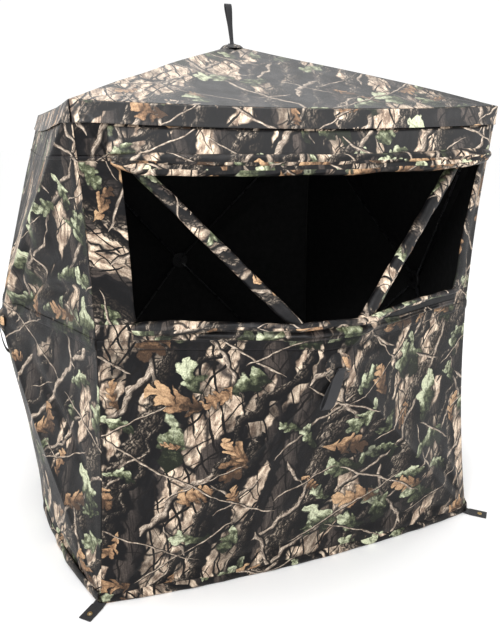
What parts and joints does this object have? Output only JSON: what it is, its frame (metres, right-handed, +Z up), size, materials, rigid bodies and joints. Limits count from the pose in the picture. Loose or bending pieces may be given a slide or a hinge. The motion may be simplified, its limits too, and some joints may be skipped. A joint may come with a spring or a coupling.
{
  "type": "pop up ground blind",
  "caption": "Square pop up hunting blind with hub-and-pole walls, pyramid roof, wide front window, pull straps and stake tabs",
  "frame": {"origin": "middle of the footprint on the ground", "axes": "+Z up, the window wall faces -Y"},
  "size_m": [2.039, 2.039, 2.0729],
  "materials": {
    "camo_cloth": "printed coated polyester, satin",
    "roof_cloth": "printed coated polyester, satin",
    "band_cloth": "printed polyester strip, stitched",
    "sleeve_cloth": "printed polyester sleeve",
    "black_webbing": "woven polypropylene webbing",
    "piping": "bound seam piping",
    "hub_plastic": "glass filled nylon",
    "boot_plastic": "moulded nylon",
    "steel": "zinc plated",
    "pole_rod": "glass fibre rod with aluminium ferrule",
    "zip_coil": "coil zip on woven tape",
    "zip_metal": "plated zinc slider"
  },
  "bodies": {
    "root": {"front_lower_panel": "camo_cloth", "front_side_panels": "camo_cloth", "front_top_panel": "camo_cloth", "right_wall": "camo_cloth", "back_wall": "camo_cloth", "left_wall": "camo_cloth", "roof_panel": "roof_cloth", "eave_tape": "band_cloth", "bottom_hem": "band_cloth", "corner_piping": "piping", "upper_window_cover": "camo_cloth", "lower_window_cover": "camo_cloth", "cover_ties": "black_webbing", "eave_corner_boots": "boot_plastic", "ground_corner_boots": "boot_plastic", "door_zip_tape": "zip_coil"},
    "front_hub_body": {"front_hub": "hub_plastic", "front_hub_fasteners": "steel"},
    "front_pole_top_right_body": {"front_pole_top_right": "pole_rod", "front_sleeve_right": "sleeve_cloth"},
    "front_pole_top_left_body": {"front_pole_top_left": "pole_rod", "front_sleeve_left": "sleeve_cloth"},
    "front_pole_low_left_body": {"front_pole_low_left": "pole_rod"},
    "front_pole_low_right_body": {"front_pole_low_right": "pole_rod"},
    "front_strap_body": {"front_pull_strap": "black_webbing"},
    "right_hub_body": {"right_hub": "hub_plastic", "right_hub_fasteners": "steel"},
    "right_pole_top_right_body": {"right_pole_top_right": "pole_rod"},
    "right_pole_top_left_body": {"right_pole_top_left": "pole_rod"},
    "right_pole_low_left_body": {"right_pole_low_left": "pole_rod"},
    "right_pole_low_right_body": {"right_pole_low_right": "pole_rod"},
    "right_strap_body": {"right_pull_strap": "black_webbing"},
    "back_hub_body": {"back_hub": "hub_plastic", "back_hub_fasteners": "steel"},
    "back_pole_top_right_body": {"back_pole_top_right": "pole_rod"},
    "back_pole_top_left_body": {"back_pole_top_left": "pole_rod"},
    "back_pole_low_left_body": {"back_pole_low_left": "pole_rod"},
    "back_pole_low_right_body": {"back_pole_low_right": "pole_rod"},
    "back_strap_body": {"back_pull_strap": "black_webbing"},
    "left_hub_body": {"left_hub": "hub_plastic", "left_hub_fasteners": "steel"},
    "left_pole_top_right_body": {"left_pole_top_right": "pole_rod"},
    "left_pole_top_left_body": {"left_pole_top_left": "pole_rod"},
    "left_pole_low_left_body": {"left_pole_low_left": "pole_rod"},
    "left_pole_low_right_body": {"left_pole_low_right": "pole_rod"},
    "left_strap_body": {"left_pull_strap": "black_webbing"},
    "roof_hub_body": {"roof_hub": "hub_plastic", "roof_hub_fasteners": "steel"},
    "roof_pole_back_right_body": {"roof_pole_back_right": "pole_rod"},
    "roof_pole_back_left_body": {"roof_pole_back_left": "pole_rod"},
    "roof_pole_front_left_body": {"roof_pole_front_left": "pole_rod"},
    "roof_pole_front_right_body": {"roof_pole_front_right": "pole_rod"},
    "roof_strap_body": {"roof_pull_strap": "black_webbing"},
    "stake_tab_back_right_body": {"stake_tab_back_right": "black_webbing"},
    "stake_tab_back_left_body": {"stake_tab_back_left": "black_webbing"},
    "stake_tab_front_left_body": {"stake_tab_front_left": "black_webbing"},
    "stake_tab_front_right_body": {"stake_tab_front_right": "black_webbing"},
    "door_zip_slider_body": {"door_zip_slider": "zip_metal"}
  },
  "joints": [
    {"name": "front_pop", "type": "slide", "parent": "root", "child": "front_hub_body", "axis": [0, 1, 0], "range_m": [0, 0.494], "deforming": ["front_lower_panel", "front_side_panels", "front_top_panel", "upper_window_cover", "lower_window_cover", "cover_ties"]},
    {"name": "front_top_right_pin", "type": "hinge", "parent": "front_hub_body", "child": "front_pole_top_right_body", "pos_m": [0.02157, -0.969, 0.83964], "axis": [-0.7386, 0, 0.6741], "range_deg": [-27.99, 0]},
    {"name": "front_top_left_pin", "type": "hinge", "parent": "front_hub_body", "child": "front_pole_top_left_body", "pos_m": [-0.02157, -0.969, 0.83964], "axis": [-0.7386, 0, -0.6741], "range_deg": [-27.99, 0]},
    {"name": "front_low_left_pin", "type": "hinge", "parent": "front_hub_body", "child": "front_pole_low_left_body", "pos_m": [-0.02157, -0.969, 0.79236], "axis": [0.7386, 0, -0.6741], "range_deg": [-27.99, 0]},
    {"name": "front_low_right_pin", "type": "hinge", "parent": "front_hub_body", "child": "front_pole_low_right_body", "pos_m": [0.02157, -0.969, 0.79236], "axis": [0.7386, 0, 0.6741], "range_deg": [-27.99, 0]},
    {"name": "front_strap_swing", "type": "hinge", "parent": "front_hub_body", "child": "front_strap_body", "pos_m": [0, -1.0025, 0.816], "axis": [-1, 0, 0], "range_deg": [0, 150]},
    {"name": "right_pop", "type": "slide", "parent": "root", "child": "right_hub_body", "axis": [-1, 0, 0], "range_m": [0, 0.494], "deforming": ["right_wall"]},
    {"name": "right_top_right_pin", "type": "hinge", "parent": "right_hub_body", "child": "right_pole_top_right_body", "pos_m": [0.969, 0.02157, 0.83964], "axis": [0, -0.7386, 0.6741], "range_deg": [-27.99, 0]},
    {"name": "right_top_left_pin", "type": "hinge", "parent": "right_hub_body", "child": "right_pole_top_left_body", "pos_m": [0.969, -0.02157, 0.83964], "axis": [0, -0.7386, -0.6741], "range_deg": [-27.99, 0]},
    {"name": "right_low_left_pin", "type": "hinge", "parent": "right_hub_body", "child": "right_pole_low_left_body", "pos_m": [0.969, -0.02157, 0.79236], "axis": [0, 0.7386, -0.6741], "range_deg": [-27.99, 0]},
    {"name": "right_low_right_pin", "type": "hinge", "parent": "right_hub_body", "child": "right_pole_low_right_body", "pos_m": [0.969, 0.02157, 0.79236], "axis": [0, 0.7386, 0.6741], "range_deg": [-27.99, 0]},
    {"name": "right_strap_swing", "type": "hinge", "parent": "right_hub_body", "child": "right_strap_body", "pos_m": [1.0025, 0, 0.816], "axis": [0, -1, 0], "range_deg": [0, 150]},
    {"name": "back_pop", "type": "slide", "parent": "root", "child": "back_hub_body", "axis": [0, -1, 0], "range_m": [0, 0.494], "deforming": ["back_wall"]},
    {"name": "back_top_right_pin", "type": "hinge", "parent": "back_hub_body", "child": "back_pole_top_right_body", "pos_m": [-0.02157, 0.969, 0.83964], "axis": [0.7386, 0, 0.6741], "range_deg": [-27.99, 0]},
    {"name": "back_top_left_pin", "type": "hinge", "parent": "back_hub_body", "child": "back_pole_top_left_body", "pos_m": [0.02157, 0.969, 0.83964], "axis": [0.7386, 0, -0.6741], "range_deg": [-27.99, 0]},
    {"name": "back_low_left_pin", "type": "hinge", "parent": "back_hub_body", "child": "back_pole_low_left_body", "pos_m": [0.02157, 0.969, 0.79236], "axis": [-0.7386, 0, -0.6741], "range_deg": [-27.99, 0]},
    {"name": "back_low_right_pin", "type": "hinge", "parent": "back_hub_body", "child": "back_pole_low_right_body", "pos_m": [-0.02157, 0.969, 0.79236], "axis": [-0.7386, 0, 0.6741], "range_deg": [-27.99, 0]},
    {"name": "back_strap_swing", "type": "hinge", "parent": "back_hub_body", "child": "back_strap_body", "pos_m": [0, 1.0025, 0.816], "axis": [1, 0, 0], "range_deg": [0, 150]},
    {"name": "left_pop", "type": "slide", "parent": "root", "child": "left_hub_body", "axis": [1, 0, 0], "range_m": [0, 0.494], "deforming": ["left_wall"]},
    {"name": "left_top_right_pin", "type": "hinge", "parent": "left_hub_body", "child": "left_pole_top_right_body", "pos_m": [-0.969, -0.02157, 0.83964], "axis": [0, 0.7386, 0.6741], "range_deg": [-27.99, 0]},
    {"name": "left_top_left_pin", "type": "hinge", "parent": "left_hub_body", "child": "left_pole_top_left_body", "pos_m": [-0.969, 0.02157, 0.83964], "axis": [0, 0.7386, -0.6741], "range_deg": [-27.99, 0]},
    {"name": "left_low_left_pin", "type": "hinge", "parent": "left_hub_body", "child": "left_pole_low_left_body", "pos_m": [-0.969, 0.02157, 0.79236], "axis": [0, -0.7386, -0.6741], "range_deg": [-27.99, 0]},
    {"name": "left_low_right_pin", "type": "hinge", "parent": "left_hub_body", "child": "left_pole_low_right_body", "pos_m": [-0.969, -0.02157, 0.79236], "axis": [0, -0.7386, 0.6741], "range_deg": [-27.99, 0]},
    {"name": "left_strap_swing", "type": "hinge", "parent": "left_hub_body", "child": "left_strap_body", "pos_m": [-1.0025, 0, 0.816], "axis": [0, 1, 0], "range_deg": [0, 150]},
    {"name": "roof_pop", "type": "slide", "parent": "root", "child": "roof_hub_body", "axis": [0, 0, -1], "range_m": [0, 0.532], "deforming": ["roof_panel"]},
    {"name": "roof_back_right_pin", "type": "hinge", "parent": "roof_hub_body", "child": "roof_pole_back_right_body", "pos_m": [0.02263, 0.02263, 1.87], "axis": [-0.7071, 0.7071, 0], "range_deg": [-31.49, 0]},
    {"name": "roof_back_left_pin", "type": "hinge", "parent": "roof_hub_body", "child": "roof_pole_back_left_body", "pos_m": [-0.02263, 0.02263, 1.87], "axis": [-0.7071, -0.7071, 0], "range_deg": [-31.49, 0]},
    {"name": "roof_front_left_pin", "type": "hinge", "parent": "roof_hub_body", "child": "roof_pole_front_left_body", "pos_m": [-0.02263, -0.02263, 1.87], "axis": [0.7071, -0.7071, 0], "range_deg": [-31.49, 0]},
    {"name": "roof_front_right_pin", "type": "hinge", "parent": "roof_hub_body", "child": "roof_pole_front_right_body", "pos_m": [0.02263, -0.02263, 1.87], "axis": [0.7071, 0.7071, 0], "range_deg": [-31.49, 0]},
    {"name": "roof_strap_swing", "type": "hinge", "parent": "roof_hub_body", "child": "roof_strap_body", "pos_m": [0, 0, 1.9035], "axis": [1, 0, 0], "range_deg": [-70, 70], "stiffness_Nm_per_rad": 0.4},
    {"name": "stake_tab_back_right_lift", "type": "hinge", "parent": "root", "child": "stake_tab_back_right_body", "pos_m": [0.76024, 0.76024, 0.0025], "axis": [0.7071, -0.7071, 0], "range_deg": [0, 80]},
    {"name": "stake_tab_back_left_lift", "type": "hinge", "parent": "root", "child": "stake_tab_back_left_body", "pos_m": [-0.76024, 0.76024, 0.0025], "axis": [0.7071, 0.7071, 0], "range_deg": [0, 80]},
    {"name": "stake_tab_front_left_lift", "type": "hinge", "parent": "root", "child": "stake_tab_front_left_body", "pos_m": [-0.76024, -0.76024, 0.0025], "axis": [-0.7071, 0.7071, 0], "range_deg": [0, 80]},
    {"name": "stake_tab_front_right_lift", "type": "hinge", "parent": "root", "child": "stake_tab_front_right_body", "pos_m": [0.76024, -0.76024, 0.0025], "axis": [-0.7071, -0.7071, 0], "range_deg": [0, 80]},
    {"name": "door_zip_run", "type": "hinge", "parent": "root", "child": "door_zip_slider_body", "pos_m": [4.69243, 4.69243, 0.816], "axis": [-0.7071, 0.7071, 0], "range_deg": [0, 13.93]}
  ],
  "couplings": [
    {"joint": "front_top_right_pin", "follows": "front_pop", "rad_per_m": -0.98841},
    {"joint": "front_top_left_pin", "follows": "front_pop", "rad_per_m": -0.98841},
    {"joint": "front_low_left_pin", "follows": "front_pop", "rad_per_m": -0.98841},
    {"joint": "front_low_right_pin", "follows": "front_pop", "rad_per_m": -0.98841},
    {"joint": "right_top_right_pin", "follows": "right_pop", "rad_per_m": -0.98841},
    {"joint": "right_top_left_pin", "follows": "right_pop", "rad_per_m": -0.98841},
    {"joint": "right_low_left_pin", "follows": "right_pop", "rad_per_m": -0.98841},
    {"joint": "right_low_right_pin", "follows": "right_pop", "rad_per_m": -0.98841},
    {"joint": "back_top_right_pin", "follows": "back_pop", "rad_per_m": -0.98841},
    {"joint": "back_top_left_pin", "follows": "back_pop", "rad_per_m": -0.98841},
    {"joint": "back_low_left_pin", "follows": "back_pop", "rad_per_m": -0.98841},
    {"joint": "back_low_right_pin", "follows": "back_pop", "rad_per_m": -0.98841},
    {"joint": "left_top_right_pin", "follows": "left_pop", "rad_per_m": -0.98841},
    {"joint": "left_top_left_pin", "follows": "left_pop", "rad_per_m": -0.98841},
    {"joint": "left_low_left_pin", "follows": "left_pop", "rad_per_m": -0.98841},
    {"joint": "left_low_right_pin", "follows": "left_pop", "rad_per_m": -0.98841},
    {"joint": "roof_back_right_pin", "follows": "roof_pop", "rad_per_m": -1.0328},
    {"joint": "roof_back_left_pin", "follows": "roof_pop", "rad_per_m": -1.0328},
    {"joint": "roof_front_left_pin", "follows": "roof_pop", "rad_per_m": -1.0328},
    {"joint": "roof_front_right_pin", "follows": "roof_pop", "rad_per_m": -1.0328}
  ]
}
